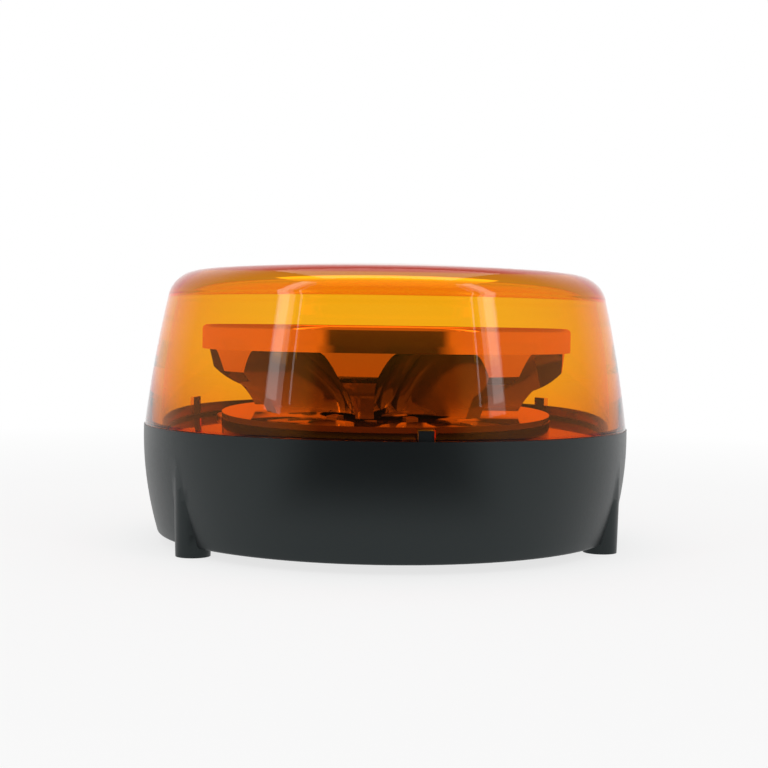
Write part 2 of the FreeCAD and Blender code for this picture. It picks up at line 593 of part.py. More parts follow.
focus = val("scoop_focus")
scoop = doc.addObject("Part::Feature", "scoop_form")
vertex = val("led_circle") - focus
reach = val("crown_rim_under") + 0.5 - vertex
rho = math.sqrt(4 * focus * reach)
# a quadratic Bezier curve with these poles is exactly the parabola
parabola = Part.BezierCurve()
parabola.setPoles([V(vertex, 0, 0), V(vertex, rho / 2, 0), V(vertex + reach, rho, 0)])
curve = parabola.toBSpline().toShape()
base_line = Part.LineSegment(V(vertex, 0, 0), V(vertex + reach, 0, 0)).toShape()
end_line = Part.LineSegment(V(vertex + reach, 0, 0), V(vertex + reach, rho, 0)).toShape()
section = Part.Face(Part.Wire([base_line, end_line, curve]))
bowl = section.revolve(V(0, 0, 0), V(1, 0, 0), 360)
scoop.Shape = bowl
scoop.Placement = FreeCAD.Placement(V(0, 0, val(BOARD_TOP + " + led_thick")), FreeCAD.Rotation())
scoops = []
for k in range(int(val("scoop_count"))):
    link = doc.addObject("App::Link", "scoop_%d" % (k + 1))
    link.LinkedObject = scoop
    link.Placement = FreeCAD.Placement(V(0, 0, 0), FreeCAD.Rotation(V(0, 0, 1), 1))
    link.setExpression("Placement.Base.z", bind(BOARD_TOP + " + led_thick"))
    link.setExpression("Placement.Rotation.Angle", bind("rest_angle + 360 / scoop_count * %d" % k))
    scoops.append(link)
scoop_ring = doc.addObject("Part::MultiFuse", "scoop_ring")
scoop_ring.Shapes = scoops
crown = node(doc.addObject("Part::Cut", "reflector_crown"))
crown.Label = "reflector_crown"
crown.Base = blank
crown.Tool = scoop_ring

# ------------------------------------------------------ shaft and fastenings
CLIP_LOW = "(bracket_height - bush_flange - washer_thick - clip_thick)"
CLIP_HIGH = "(bracket_height - bush_flange - washer_thick)"
shaft = node(make_body("rotor_shaft"))
revolve(shaft, "shaft_turned", [
    ("0", "shaft_foot"), ("shaft_radius - 0.4", "shaft_foot"), ("shaft_radius", "shaft_foot + 0.4"),
    ("shaft_radius", CLIP_LOW), ("shaft_radius - clip_groove", CLIP_LOW),
    ("shaft_radius - clip_groove", CLIP_HIGH), ("shaft_radius", CLIP_HIGH),
    ("shaft_radius", DISH), ("cap_screw_radius", DISH),
    ("cap_screw_radius", DISH + " - shaft_screw_depth"), ("0", DISH + " - shaft_screw_depth")])

cap = node(make_body("cap_screw"))
revolve(cap, "cap_turned", [
    ("0", DISH + " - shaft_screw_depth + 1"), ("cap_screw_radius", DISH + " - shaft_screw_depth + 1"),
    ("cap_screw_radius", CROWN_TOP), ("cap_head_radius", CROWN_TOP),
    ("cap_head_radius", CROWN_TOP + " + cap_head_height * 0.4",
     ("cap_head_radius * 0.92", CROWN_TOP + " + cap_head_height * 0.8")),
    ("cap_head_radius * 0.7", CROWN_TOP + " + cap_head_height"),
    ("0", CROWN_TOP + " + cap_head_height")])

clip = node(make_body("shaft_clip"))
revolve(clip, "clip_turned", [
    ("shaft_radius - clip_groove", CLIP_LOW), ("shaft_radius + 1.6", CLIP_LOW),
    ("shaft_radius + 1.6", CLIP_HIGH), ("shaft_radius - clip_groove", CLIP_HIGH)])
gap_sketch = outline(clip, "clip_gap_sketch", [
    ("shaft_radius * 0.2", "-shaft_radius * 0.45"), ("shaft_radius + 3", "-shaft_radius * 0.45"),
    ("shaft_radius + 3", "shaft_radius * 0.45"), ("shaft_radius * 0.2", "shaft_radius * 0.45")],
    plane="XY_Plane", height=CLIP_HIGH + " + 0.5")
extrude(clip, "clip_gap", gap_sketch, "clip_thick + 1", cut=True)

washer = node(ring("thrust_washer", BUSH_BORE, "shaft_radius + 2.4", CLIP_HIGH, "bracket_height - bush_flange"))

# upper bush pressed in the deck hub from below, lower bush in the bracket
GEAR_TOP = "(gear_height + gear_face)"
upper = node(make_body("upper_bush"))
revolve(upper, "upper_turned", [
    (BUSH_BORE, "deck_height - bush_flange + 0.4"),
    (BUSH_OUT + " + bush_flange_width", "deck_height - bush_flange + 0.4"),
    (BUSH_OUT + " + bush_flange_width", "deck_height"), (BUSH_OUT, "deck_height"),
    (BUSH_OUT, "drum_top"), (BUSH_BORE, "drum_top")])
lower = node(make_body("lower_bush"))
revolve(lower, "lower_turned", [
    (BUSH_BORE, "bracket_height - bush_flange"),
    (BUSH_OUT + " + bush_flange_width", "bracket_height - bush_flange"),
    (BUSH_OUT + " + bush_flange_width", "bracket_height"), (BUSH_OUT, "bracket_height"),
    (BUSH_OUT, BRACKET_TOP + " + bush_rise"), (BUSH_BORE, BRACKET_TOP + " + bush_rise")])

# ------------------------------------------------------------ motor bracket
# Flat pressed plate hung from the deck by three spacers; its long axis runs
# from beyond the shaft to beyond the motor.
bracket = node(make_body("motor_bracket"))
hw = "bracket_width / 2"
half_arm = "bracket_arm / 2"
reach_y = ARM + " + bracket_arm / 2"
plate = outline(bracket, "bracket_sketch", [
    ("0 - " + half_arm, "0 - " + ARM, ("0", "0 - (%s)" % reach_y)),
    (half_arm, "0 - " + ARM), (half_arm, "0 - " + hw), (CENTRES + " + 2", "0 - " + hw),
    (CENTRES + " + %s + 3" % hw, "0 - spacer_radius - 1.5",
     (CENTRES + " + %s + 3 + spacer_radius + 1.5" % hw, "0")),
    (CENTRES + " + %s + 3" % hw, "spacer_radius + 1.5"), (CENTRES + " + 2", hw), (half_arm, hw),
    (half_arm, ARM, ("0", reach_y)), ("0 - " + half_arm, ARM)], plane="XY_Plane", height="bracket_height")
extrude(bracket, "bracket_pressed", plate, "bracket_thick")
holes = discs(bracket, "bracket_holes_sketch",
              [("0", "0", BUSH_OUT), (CENTRES, "0", "motor_boss_radius")] +
              [(x, y, SCREW_HOLE) for x, y in SPACERS] +
              [(x, y, SCREW_HOLE) for x, y in MOTOR_SCREWS], BRACKET_TOP)
extrude(bracket, "bracket_holes", holes, "bracket_thick + 1", cut=True)
place(bracket, angle="motor_angle")


def single_screws(label, spots, seat, length, turn, up=False):
    """Screws at listed spots; with up=True they are driven upwards."""
    forms = []
    for k, (x, y) in enumerate(spots):
        body = make_body("%s_%d" % (label, k + 1))
        sign = "-" if up else ""
        mark = "" if up else "-"
        revolve(body, "screw_turned", [
            ("0", "%s(%s)" % (mark, length)), ("pilot_radius", "%s(%s)" % (mark, length)),
            ("pilot_radius", "0"), ("head_radius", "0"),
            ("head_radius", "%shead_height * 0.4" % sign,
             ("head_radius * 0.92", "%shead_height * 0.8" % sign)),
            ("head_radius * 0.7", "%shead_height" % sign), ("0", "%shead_height" % sign)])
        sx, sy = turned(x, y, turn)
        place(body, sx, sy, seat)
        forms.append(body)
    both = doc.addObject("Part::Compound", label)
    both.Label = label
    both.Links = forms
    return both


spacers = node(make_body("bracket_spacers"))
extrude(spacers, "spacers_turned",
        discs(spacers, "spacer_sketch", [(x, y, "spacer_radius") for x, y in SPACERS], BRACKET_TOP),
        "deck_height - bracket_height - bracket_thick")
extrude(spacers, "spacer_bores",
        discs(spacers, "spacer_bore_sketch", [(x, y, SCREW_HOLE) for x, y in SPACERS], "bracket_height"),
        "deck_height - bracket_height", cut=True, down=True)
place(spacers, angle="motor_angle")
node(single_screws("bracket_screws", SPACERS, "bracket_height",
                   "deck_height - bracket_height + bracket_bite - 0.3", "motor_angle", up=True))
node(single_screws("motor_screws", MOTOR_SCREWS, BRACKET_TOP, "bracket_thick + motor_thread", "motor_angle"))

# ------------------------------------------------------------- motor, gears
motor = node(make_body("motor_can"))
MOTOR_FOOT = "(bracket_height - motor_length)"
revolve(motor, "motor_turned", [
    ("0", MOTOR_FOOT), ("motor_radius - 1.2", MOTOR_FOOT), ("motor_radius", MOTOR_FOOT + " + 1.2"),
    ("motor_radius", "bracket_height - 0.8"), ("motor_radius - 0.8", "bracket_height"),
    ("motor_boss_radius", "bracket_height"), ("motor_boss_radius", BRACKET_TOP),
    ("motor_shaft_radius + shaft_clear", BRACKET_TOP),
    ("motor_shaft_radius + shaft_clear", "bracket_height - motor_bearing"),
    ("0", "bracket_height - motor_bearing")])
threads = discs(motor, "motor_thread_sketch",
                [("0", "motor_screw_circle", "pilot_radius"), ("0", "0 - motor_screw_circle", "pilot_radius")],
                "bracket_height")
extrude(motor, "motor_threads", threads, "motor_thread + 0.5", cut=True)
MX, MY = turned(CENTRES, "0", "motor_angle")
place(motor, MX, MY, angle="motor_angle")

motor_shaft = node(make_body("motor_shaft"))
revolve(motor_shaft, "motor_shaft_turned", [
    ("0", "bracket_height - motor_bearing + 0.2"), ("motor_shaft_radius", "bracket_height - motor_bearing + 0.2"),
    ("motor_shaft_radius", "pinion_height + pinion_face + 0.2"),
    ("motor_shaft_radius - 0.2", "pinion_height + pinion_face + 0.4"), ("0", "pinion_height + pinion_face + 0.4")])
place(motor_shaft, MX, MY)


def toothed_face(teeth, addendum):
    """Flat face of an involute gear, tooth centre on +X, 20 degree pressure angle."""
    module, play = val("gear_module"), val("gear_backlash")
    pitch = module * teeth / 2
    base = pitch * math.cos(math.radians(20))
    root, tip = pitch - 1.25 * module, pitch + addendum * module

    def half_angle(r):
        press = math.acos(min(1.0, base / r))
        inv = math.tan(press) - press
        inv20 = math.tan(math.radians(20)) - math.radians(20)
        return math.pi / (2 * teeth) - play / (4 * pitch) + inv20 - inv

    radii = [root] + ([base] if base > root else []) + [pitch, tip]
    points = []
    for k in range(teeth):
        middle = 2 * math.pi * k / teeth
        flank = [(r, half_angle(max(r, base))) for r in radii]
        for r, a in flank:
            points.append(V(r * math.cos(middle - a), r * math.sin(middle - a), 0))
        for r, a in reversed(flank):
            points.append(V(r * math.cos(middle + a), r * math.sin(middle + a), 0))
    return Part.Face(Part.makePolygon(points + [points[0]]))


HUB_FOOT = BRACKET_TOP + " + bush_rise + hub_gap"
gear = node(doc.addObject("Part::Feature", "rotor_gear"))
gear.Label = "rotor_gear"
blank_gear = toothed_face(int(val("gear_teeth")), val("gear_addendum")).extrude(V(0, 0, val("gear_face")))
blank_gear.translate(V(0, 0, val("gear_height")))
hub = Part.makeCylinder(val("gear_hub_radius"), val("gear_height - (%s)" % HUB_FOOT) + val("gear_face"),
                        V(0, 0, val(HUB_FOOT)))
gear_form = blank_gear.fuse(hub)
rim_of_gear = val("gear_module * gear_teeth / 2 - gear_rim")
window_circle = (val("gear_hub_radius") + rim_of_gear) / 2
window_radius = (rim_of_gear - val("gear_hub_radius")) / 2 - val("gear_spoke")
bore_length = val("gear_height - (%s)" % HUB_FOOT) + val("gear_face")
cutters = [Part.makeCylinder(val("shaft_radius"), bore_length, V(0, 0, val(HUB_FOOT)))]
for k in range(6):
    a = math.radians(60 * k)
    spot = V(window_circle * math.cos(a), window_circle * math.sin(a), val("gear_height"))
    cutters.append(Part.makeCylinder(window_radius, val("gear_face"), spot))
gear.Shape = gear_form.cut(cutters).removeSplitter()
gear.Placement = FreeCAD.Placement(V(0, 0, 0), FreeCAD.Rotation(V(0, 0, 1), val("motor_angle - 180 / gear_teeth")))

pinion = node(doc.addObject("Part::Feature", "motor_pinion"))
pinion.Label = "motor_pinion"
pinion_form = toothed_face(int(val("pinion_teeth")), 1.0).extrude(V(0, 0, val("pinion_face")))
pinion_form.translate(V(0, 0, val("pinion_height")))
pinion.Shape = pinion_form.cut(Part.makeCylinder(val("motor_shaft_radius"), val("pinion_face"),
                                                 V(0, 0, val("pinion_height"))))
pinion.Placement = FreeCAD.Placement(V(val(MX), val(MY), 0),
                                     FreeCAD.Rotation(V(0, 0, 1), val("motor_angle + 180")))

# --------------------------------------------------- driver board, terminals
pcb = node(make_body("driver_board"))
u0, u1 = "pcb_distance - pcb_width / 2", "pcb_distance + pcb_width / 2"
v1 = "pcb_length / 2"
pcb_sketch = outline(pcb, "pcb_sketch", [(u0, "0 - " + v1), (u1, "0 - " + v1), (u1, v1), (u0, v1)],
                     plane="XY_Plane", height=PCB_BASE)
extrude(pcb, "pcb_sheet", pcb_sketch, "pcb_thick")
PCB_SPOTS = [("pcb_distance + %d * (pcb_width / 2 - standoff_inset)" % sx,
              "%d * (pcb_length / 2 - standoff_inset)" % sy) for sx in (-1, 1) for sy in (-1, 1)]
pcb_holes = discs(pcb, "pcb_hole_sketch", [(x, y, SCREW_HOLE) for x, y in PCB_SPOTS], PCB_BASE + " + pcb_thick")
extrude(pcb, "pcb_holes", pcb_holes, "pcb_thick + 1", cut=True)
place(pcb, angle="pcb_angle")
PCB_TOP = "(foot_drop + floor_thick + standoff_height + pcb_thick)"
node(single_screws("driver_screws", PCB_SPOTS, PCB_TOP, "pcb_thick + standoff_height - 0.6", "pcb_angle"))

capacitor = node(make_body("smoothing_capacitor"))
cr = "capacitor_radius"
revolve(capacitor, "capacitor_turned", [
    ("0", PCB_TOP), (cr, PCB_TOP), (cr, PCB_TOP + " + 1.2"), (cr + " - 0.4", PCB_TOP + " + 1.6"),
    (cr, PCB_TOP + " + 2.0"), (cr, PCB_TOP + " + capacitor_length - 0.5"),
    (cr + " - 0.5", PCB_TOP + " + capacitor_length"), ("0", PCB_TOP + " + capacitor_length")])
CX, CY = turned("pcb_distance + 4", "10", "pcb_angle")
place(capacitor, CX, CY)

regulator = node(make_body("voltage_regulator"))
reg_body = outline(regulator, "regulator_sketch", [("0 - 5", "0 - 2.3"), ("5", "0 - 2.3"), ("5", "2.3"), ("0 - 5", "2.3")],
                   plane="XY_Plane", height=PCB_TOP)
extrude(regulator, "regulator_case", reg_body, "regulator_height")
reg_tab = outline(regulator, "regulator_tab_sketch", [("0 - 5", "1.1"), ("5", "1.1"), ("5", "2.3"), ("0 - 5", "2.3")],
                  plane="XY_Plane", height=PCB_TOP)
extrude(regulator, "regulator_tab", reg_tab, "regulator_height + 5")
RX, RY = turned("pcb_distance + 4", "0 - 3", "pcb_angle")
place(regulator, RX, RY, angle="pcb_angle + 90")

terminal = node(make_body("terminal_block"))
tl = "terminal_length / 2"
block = outline(terminal, "terminal_sketch", [
    ("0 - 4", "0"), ("4", "0"), ("4", "6"), ("2.4", "9"), ("0 - 4", "9")], plane="YZ_Plane", height="0 - " + tl)
extrude(terminal, "terminal_case", block, "terminal_length")
ports = discs(terminal, "terminal_screw_sketch",
              [("%d * terminal_length / 3" % k, "0 - 0.6", "1.7") for k in (-1, 0, 1)], "9")
extrude(terminal, "terminal_wells", ports, "3", cut=True)
TX, TY = turned("pcb_distance - 7", "0", "pcb_angle")
place(terminal, TX, TY, PCB_TOP, angle="pcb_angle + 90")

# ---------------------------------------------------- inserts, inlet, breather
inserts = node(make_body("threaded_inserts"))
insert_form = revolve(inserts, "insert_turned", [
    ("insert_bore", "insert_recess"), ("insert_flange", "insert_recess"),
    ("insert_flange", "insert_recess + insert_flange_thick"),
    ("insert_radius", "insert_recess + insert_flange_thick"),
    ("insert_radius", "insert_recess + insert_length"), ("insert_bore", "insert_recess + insert_length")],
    shift="foot_circle")
around(inserts, "insert_ring", [insert_form], "foot_count")
place(inserts, angle="foot_phase")

grommet = node(make_body("cable_grommet"))
revolve(grommet, "grommet_turned", [
    ("inlet_bore", "foot_drop - 1.2"), ("inlet_radius + inlet_lip - 0.6", "foot_drop - 1.2"),
    ("inlet_radius + inlet_lip", "foot_drop"), ("inlet_radius", "foot_drop"), ("inlet_radius", FLOOR),
    ("inlet_radius + inlet_lip", FLOOR), ("inlet_radius + inlet_lip - 0.6", FLOOR + " + 1.5"),
    ("inlet_bore", FLOOR + " + 1.5")])

vent = node(make_body("breather_vent"))
revolve(vent, "vent_turned", [
    ("0", "foot_drop - 1"), ("vent_radius + 1", "foot_drop - 1"), ("vent_radius + 1.5", "foot_drop"),
    ("vent_radius", "foot_drop"), ("vent_radius", FLOOR), ("vent_radius - 0.5", FLOOR + " + 0.8"),
    ("0", FLOOR + " + 0.8")])
VX, VY = turned("vent_circle", "0", "(foot_phase + 90)")
place(vent, VX, VY)

# ------------------------------------------------------------------- export
doc.recompute()
faults = [o.Label for o in doc.Objects if "Invalid" in o.State or "Error" in o.State]
if faults:
    raise RuntimeError("failed objects: %s" % faults)
os.makedirs("parts", exist_ok=True)
for obj in nodes:
    shape = obj.Shape
    if shape.isNull() or not shape.isValid() or not shape.Solids:
        raise RuntimeError("bad shape: %s" % obj.Label)
for obj in nodes:
    obj.Shape.exportStep(os.path.join("parts", obj.Label + ".step"))
    box = obj.Shape.BoundBox
    print("%-20s solids %d  volume %9.1f  z %6.2f to %6.2f" % (
        obj.Label, len(obj.Shape.Solids), obj.Shape.Volume, box.ZMin, box.ZMax))
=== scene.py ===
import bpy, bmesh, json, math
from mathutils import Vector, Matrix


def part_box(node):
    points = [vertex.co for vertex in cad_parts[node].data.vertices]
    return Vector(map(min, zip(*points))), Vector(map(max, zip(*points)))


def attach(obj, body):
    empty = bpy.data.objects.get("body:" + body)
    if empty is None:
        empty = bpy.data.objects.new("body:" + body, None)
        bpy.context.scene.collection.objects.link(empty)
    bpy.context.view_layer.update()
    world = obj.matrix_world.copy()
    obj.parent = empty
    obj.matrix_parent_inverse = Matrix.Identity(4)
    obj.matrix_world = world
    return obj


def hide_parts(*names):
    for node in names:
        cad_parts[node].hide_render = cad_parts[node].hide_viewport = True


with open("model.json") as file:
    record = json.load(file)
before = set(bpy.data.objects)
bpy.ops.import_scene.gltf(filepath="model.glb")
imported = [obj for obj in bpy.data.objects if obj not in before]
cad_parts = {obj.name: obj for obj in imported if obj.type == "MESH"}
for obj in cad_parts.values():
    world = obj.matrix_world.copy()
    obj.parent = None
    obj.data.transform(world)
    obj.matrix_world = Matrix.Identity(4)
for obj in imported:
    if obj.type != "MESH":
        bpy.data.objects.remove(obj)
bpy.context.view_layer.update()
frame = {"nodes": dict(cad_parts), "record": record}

# %% [markdown]
# A rotating beacon has a black moulded housing, a clear amber lens, and under
# the lens a bright reflector crown that turns over a ring of lamps. The sizes
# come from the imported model, so this notebook only dresses it: it reads the
# places of the nodes, gives each one its finish, and rebuilds the few surfaces
# whose gloss would show the flat triangles of a machined model.

NODES = frame["nodes"]
scene = bpy.context.scene
scene.view_settings.view_transform = "Standard"

# %% [markdown]
# The camera comes first, so that every later choice can be judged from it. It
# stands a little to one side of the front key, slightly above the seam between
# lens and housing, and close enough for the near rim to look lower than the
# far one.

# %% Camera
AXIS_FACING = math.radians(-98.39)
SEAM = 0.0335
camera_data = bpy.data.cameras.new("studio_camera")
camera_data.lens = 62.86
camera_data.sensor_width = 36.0
camera_data.clip_start = 0.01
camera = bpy.data.objects.new("studio_camera", camera_data)
scene.collection.objects.link(camera)
DISTANCE, HEIGHT, DOWN, ROLL, TURN = 0.3973, SEAM + 0.0250, 1.90, 0.82, 0.08
camera.location = (DISTANCE * math.cos(AXIS_FACING), DISTANCE * math.sin(AXIS_FACING), HEIGHT)
looking = (Matrix.Rotation(AXIS_FACING + math.pi / 2 + math.radians(TURN), 3, "Z")
           @ Matrix.Rotation(math.radians(90 - DOWN), 3, "X") @ Matrix.Rotation(math.radians(ROLL), 3, "Z"))
camera.rotation_euler = looking.to_euler()
scene.camera = camera
print("camera", [round(c, 4) for c in camera.location])

# %% [markdown]
# Shader maths reads best as ordinary arithmetic. A small class wraps a node's
# output, and its operators add the Math nodes, so a mask can be written as
# 1 - noise * 0.4. Every other node comes from one method that takes the node's
# type, its settings and its inputs.

# %% Shader helpers
class Wire:
    """One output socket, with arithmetic."""
    def __init__(self, finish, socket):
        self.finish, self.socket = finish, socket

    def _math(self, operation, a, b, clamp=False):
        return self.finish.node("ShaderNodeMath", {"operation": operation, "use_clamp": clamp}, {0: a, 1: b})

    def __add__(self, o): return self._math("ADD", self, o)
    def __sub__(self, o): return self._math("SUBTRACT", self, o)
    def __rsub__(self, o): return self._math("SUBTRACT", o, self)
    def __mul__(self, o): return self._math("MULTIPLY", self, o)
    def __truediv__(self, o): return self._math("DIVIDE", self, o)
    def __pow__(self, o): return self._math("POWER", self, o)
    def above(self, o): return self._math("GREATER_THAN", self, o)
    def highest(self, o): return self._math("MAXIMUM", self, o)
    def clamped(self): return self._math("ADD", self, 0.0, clamp=True)


class Finish:
    """A material, or the world, and its node tree."""
    def __init__(self, name, world=False):
        self.material = (bpy.data.worlds if world else bpy.data.materials).new(name)
        self.material.use_nodes = True
        self.tree = self.material.node_tree
        self.tree.nodes.clear()
        self.output = self.tree.nodes.new("ShaderNodeOutputWorld" if world else "ShaderNodeOutputMaterial")

    def node(self, kind, settings=None, inputs=None, output=0):
        n = self.tree.nodes.new(kind)
        for key, value in (settings or {}).items():
            setattr(n, key, value)
        for key, value in (inputs or {}).items():
            self.feed(n.inputs[key], value)
        wire = Wire(self, n.outputs[output])
        wire.owner = n
        return wire

    def feed(self, socket, value):
        if isinstance(value, Wire):
            self.tree.links.new(value.socket, socket)
        else:
            socket.default_value = value

    def place(self):
        return self.node("ShaderNodeTexCoord", output="Object")

    def axes(self, place):
        split = self.node("ShaderNodeSeparateXYZ", None, {0: place})
        return [Wire(self, split.owner.outputs[i]) for i in range(3)]

    def noise(self, place, scale, detail=3.0, rough=0.5):
        return self.node("ShaderNodeTexNoise", None,
                         {"Vector": place, "Scale": scale, "Detail": detail, "Roughness": rough})

    def ramp(self, factor, stops):
        n = self.node("ShaderNodeValToRGB", None, {"Fac": factor})
        ramp = n.owner.color_ramp
        while len(ramp.elements) < len(stops):
            ramp.elements.new(0.5)
        for element, (at, colour) in zip(ramp.elements, stops):
            element.position, element.color = at, (*colour, 1.0)
        return n

    def blend(self, factor, a, b):
        n = self.node("ShaderNodeMix", {"data_type": "RGBA"})
        self.feed(n.owner.inputs["Factor"], factor)
        for key, value in (("A", a), ("B", b)):
            socket = [i for i in n.owner.inputs if i.name == key and i.type == "RGBA"][0]
            self.feed(socket, value if isinstance(value, Wire) else (*value, 1.0))
        out = [o for o in n.owner.outputs if o.type == "RGBA"][0]
        return Wire(self, out)

    def bump(self, height, strength, distance):
        return self.node("ShaderNodeBump", None, {"Strength": strength, "Distance": distance, "Height": height})

    def surface(self, **sockets):
        return self.node("ShaderNodeBsdfPrincipled", None, {k.replace("_", " "): v for k, v in sockets.items()})

    def done(self, shader):
        self.tree.links.new(shader.socket, self.output.inputs["Surface"])
        return self.material


# %% [markdown]
# The housing is injection moulded in black plastic with a fine spark-eroded
# grain. From a step away it reads as even satin black, so the grain is only a
# shallow bump with a very small change of roughness, and the wide soft light
# does the rest.

# %% Black moulded plastic
def moulded_black(name, tone, rough, grain=0.00005, depth=0.3, ior=1.5, coat=0.0):
    f = Finish(name)
    place = f.place()
    grit = f.noise(place, 0.5 / grain / 10, 4.0, 0.6)
    cloud = f.noise(place, 35.0, 2.0)
    colour = f.blend(cloud, tuple(c * 0.9 for c in tone), tuple(c * 1.12 for c in tone))
    return f.done(f.surface(
        Base_Color=colour, Roughness=(cloud * 0.08 + grit * 0.10 + (rough - 0.09)), IOR=ior,
        Specular_Tint=(0.86, 1.0, 1.0, 1.0), Coat_Weight=coat, Normal=f.bump(grit, depth, grain)))


BASE_BLACK = moulded_black("base_plastic_look", (0.0085, 0.0100, 0.0110), 0.33, ior=1.50)
DECK_BLACK = moulded_black("deck_plastic_look", (0.022, 0.018, 0.017), 0.12, depth=0.03, ior=1.6, coat=1.0)
print("black plastics", BASE_BLACK.name, DECK_BLACK.name)

# %% [markdown]
# The lens is one amber polycarbonate moulding. The surface refracts with an
# index of 1.58 and has no tint of its own: the amber is in the plastic, as an
# absorption by depth, so the wall turns from yellow to red-orange where it is
# thick or seen edge on. Light on its way to the parts inside goes straight
# through the surface, which keeps the inside bright without grain. Light that
# was mirrored inside and comes back out takes INSIDE_TINT, a chosen tint that
# makes it redder. Light that has bounced twice along the wall is let out, so
# that the shoulder glows instead of turning black where the count of bounces
# ends.

# %% Amber lens
ABSORBED_PER_METRE = (2.0, 135.0, 800.0)
INSIDE_TINT = (1.0, 0.34, 0.45)
LENS_INDEX = 1.58


def amber_lens():
    f = Finish("amber_lens_look")
    path = f.node("ShaderNodeLightPath").owner.outputs
    bounced, passed = Wire(f, path["Glossy Depth"]), Wire(f, path["Transmission Depth"])
    deep = bounced.above(1.5)
    came_from_inside = bounced.above(0.5) * passed.above(1.5)
    unseen = Wire(f, path["Is Shadow Ray"]).highest(Wire(f, path["Is Diffuse Ray"]))
    tint = f.blend(came_from_inside, (1.0, 1.0, 1.0), INSIDE_TINT)
    body = f.surface(Base_Color=tint, Roughness=0.01, IOR=LENS_INDEX, Transmission_Weight=1.0)
    half_tint = tuple(0.95 * math.sqrt(c) for c in INSIDE_TINT)
    faint, tinted = [f.node("ShaderNodeBsdfTransparent", None, {"Color": (*tone, 1.0)})
                     for tone in ((1.0, 0.97, 0.90), half_tint)]
    straight = f.node("ShaderNodeMixShader", None, {0: unseen.highest(came_from_inside), 1: faint, 2: tinted})
    strongest = max(ABSORBED_PER_METRE)
    depth = f.node("ShaderNodeVolumeAbsorption", None, {
        "Color": (*[1 - a / strongest for a in ABSORBED_PER_METRE], 1.0), "Density": strongest})
    f.tree.links.new(depth.socket, f.output.inputs["Volume"])
    return f.done(f.node("ShaderNodeMixShader", None, {0: unseen.highest(deep), 1: body, 2: straight}))


LENS_AMBER = amber_lens()
print("lens absorbs per metre", ABSORBED_PER_METRE)

# %% [markdown]
# The reflector is vacuum metallised: a mirror with the faint ripple of the
# plastic below it. The steel, brass and aluminium pieces share one recipe with
# fine turning marks or brushing, and differ in colour and roughness.

# %% Metals
def metal(name, tone, rough, scale=900.0, streak=(1.0, 1.0, 1.0), depth=0.05):
    f = Finish(name)
    place = f.place()
    mapped = f.node("ShaderNodeMapping", None, {"Vector": place, "Scale": streak})
    marks = f.noise(mapped, scale, 3.0)
    cloud = f.noise(place, 60.0, 2.0)
    return f.done(f.surface(
        Base_Color=f.blend(cloud, tuple(c * 0.93 for c in tone), tone), Metallic=1.0,
        Roughness=(marks * (rough * 0.5) + rough * 0.75), Normal=f.bump(marks, depth, 0.00002)))


CHROME = metal("mirror_chrome_look", (0.90, 0.90, 0.91), 0.045, 30.0, depth=0.02)
ZINC = metal("zinc_steel_look", (0.66, 0.66, 0.63), 0.32)
BRACKET = metal("bracket_steel_look", (0.60, 0.61, 0.60), 0.38, 500.0, (1, 8, 1))
MOTOR = metal("motor_steel_look", (0.58, 0.59, 0.61), 0.28, 500.0, (1, 1, 12))
SHAFT = metal("shaft_steel_look", (0.62, 0.62, 0.63), 0.22, 700.0, (1, 1, 10))
SPRING = metal("spring_steel_look", (0.20, 0.19, 0.18), 0.40)
ALUMINIUM = metal("spreader_aluminium_look", (0.76, 0.77, 0.78), 0.34, 400.0, (1, 6, 1))
BRONZE = metal("sinter_bronze_look", (0.50, 0.33, 0.16), 0.48, 1500.0)
BRASS = metal("insert_brass_look", (0.78, 0.58, 0.26), 0.26)
print("metals ready")

# %% [markdown]
# The remaining finishes are small: the glossy lamp board, the green
# board, rubber, acetal and the sleeves of the electronic parts. The lamp board
# is painted a dark grey in place of its white: painted shade for the shadow
# that the reflector crown casts over it. Each has its own speckle and gloss,
# since they are all moulded, coated or printed in different ways.

# %% Boards, rubber and small plastics
def coated(name, tone, rough, scale=300.0, vary=0.08, depth=0.1, coat=0.0, ior=1.5):
    f = Finish(name)
    place = f.place()
    speck = f.noise(place, scale, 4.0, 0.6)
    cloud = f.noise(place, scale / 12, 2.0)
    colour = f.blend(cloud, tuple(c * (1 - vary) for c in tone), tone)
    return f.done(f.surface(Base_Color=colour, Roughness=(speck * 0.12 + (rough - 0.06)), IOR=ior, Coat_Weight=coat,
                            Normal=f.bump(speck, depth, 0.00003)))


# Lamp board: the dark grey tone is painted shade, the crown's shadow on a white board; its gloss is real.
LAMP_BOARD_PAINTED_SHADE = coated("white_board_look", (0.30, 0.28, 0.26), 0.07, 200.0, 0.06, 0.01, 1.0, 2.1)
GREEN_BOARD = coated("green_board_look", (0.015, 0.13, 0.045), 0.28, 250.0, 0.15)
RUBBER = coated("seal_rubber_look", (0.018, 0.018, 0.018), 0.75, 800.0, 0.15, 0.3)
PHOSPHOR = coated("lamp_package_look", (0.85, 0.72, 0.22), 0.35, 900.0, 0.10)
SLEEVE = coated("capacitor_sleeve_look", (0.012, 0.013, 0.03), 0.22, 120.0, 0.1)
EPOXY = coated("regulator_epoxy_look", (0.02, 0.02, 0.02), 0.55, 900.0, 0.1, 0.25)
TERMINAL = coated("terminal_plastic_look", (0.02, 0.20, 0.07), 0.42, 300.0, 0.1)
VENT = coated("vent_plastic_look", (0.025, 0.025, 0.025), 0.6, 500.0, 0.1, 0.2)
ACETAL = coated("gear_plastic_look", (0.74, 0.71, 0.62), 0.38, 200.0, 0.06)
WASHER = coated("washer_plastic_look", (0.70, 0.67, 0.58), 0.40, 250.0, 0.06)
